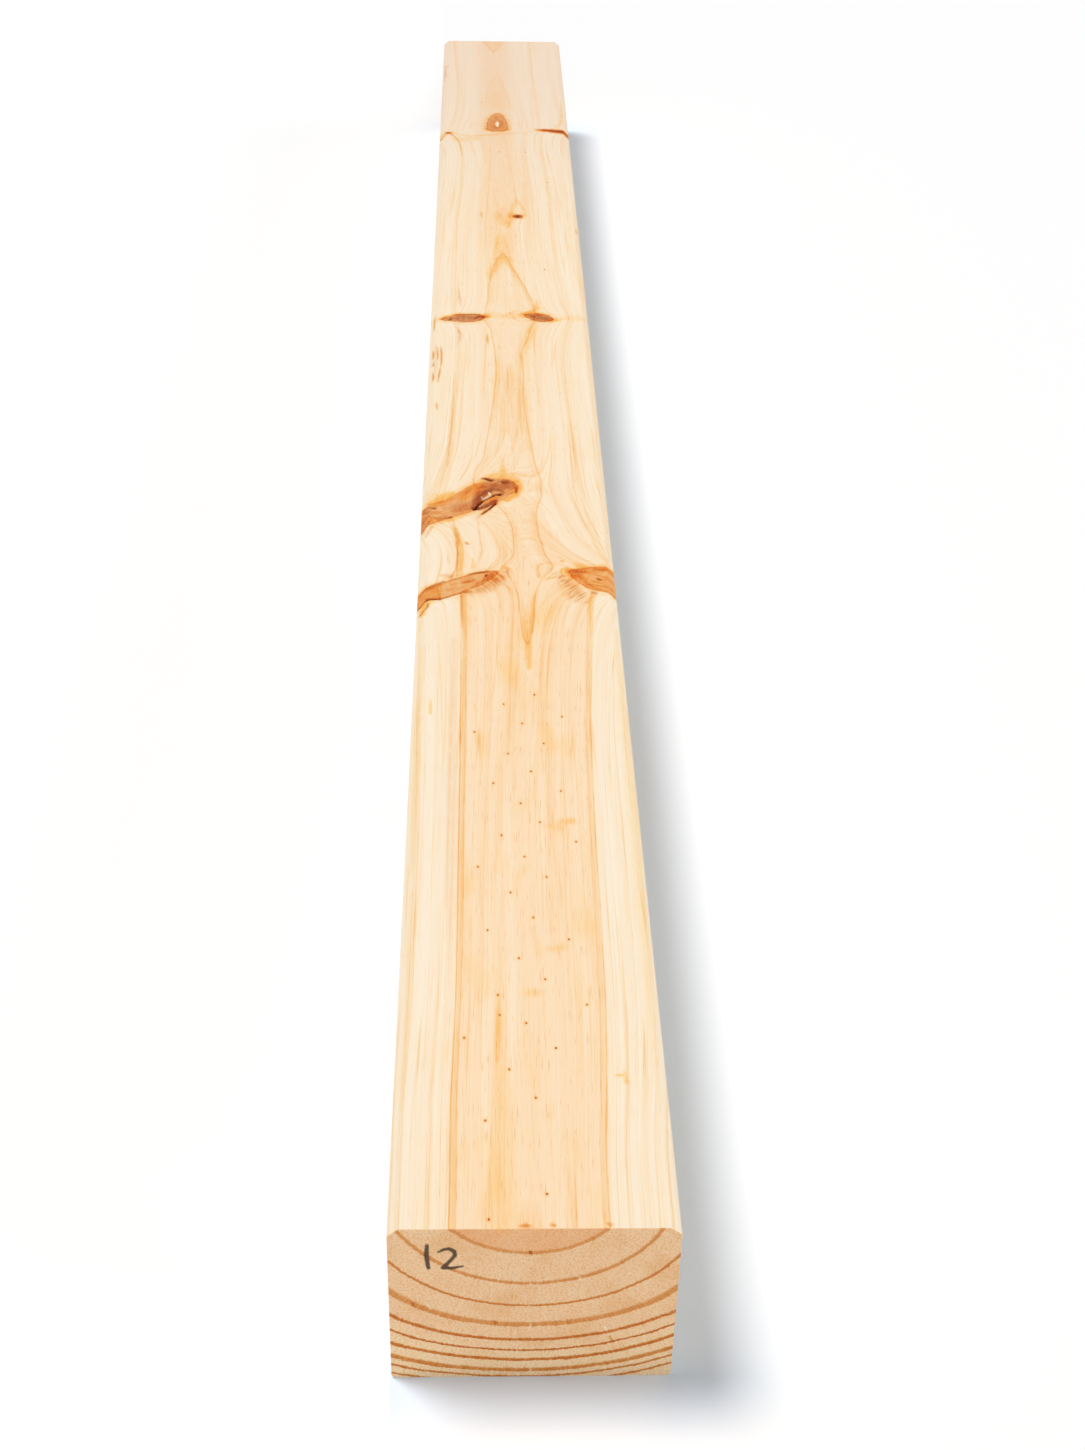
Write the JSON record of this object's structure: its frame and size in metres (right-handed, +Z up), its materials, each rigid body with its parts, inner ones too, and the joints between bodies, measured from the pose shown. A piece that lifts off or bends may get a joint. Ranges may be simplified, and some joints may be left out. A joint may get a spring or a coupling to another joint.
{
  "type": "timber lumber plank",
  "caption": "Thick planed softwood plank with square-sawn ends, planed top arrises, a torn knot hollow and open bark seams, used as framing timber or bench stock.",
  "frame": {"origin": "under the middle of the plank, on the face that it lies on", "axes": "+Y along the grain from the marked end to the plain end, +X across the wide face, +Z up through the thickness to the face with the knots and chamfers"},
  "size_m": [0.09, 1.2, 0.07],
  "materials": {
    "pine": "planed bare softwood, ends as sawn"
  },
  "bodies": {
    "root": {"plank": "pine"}
  },
  "joints": []
}
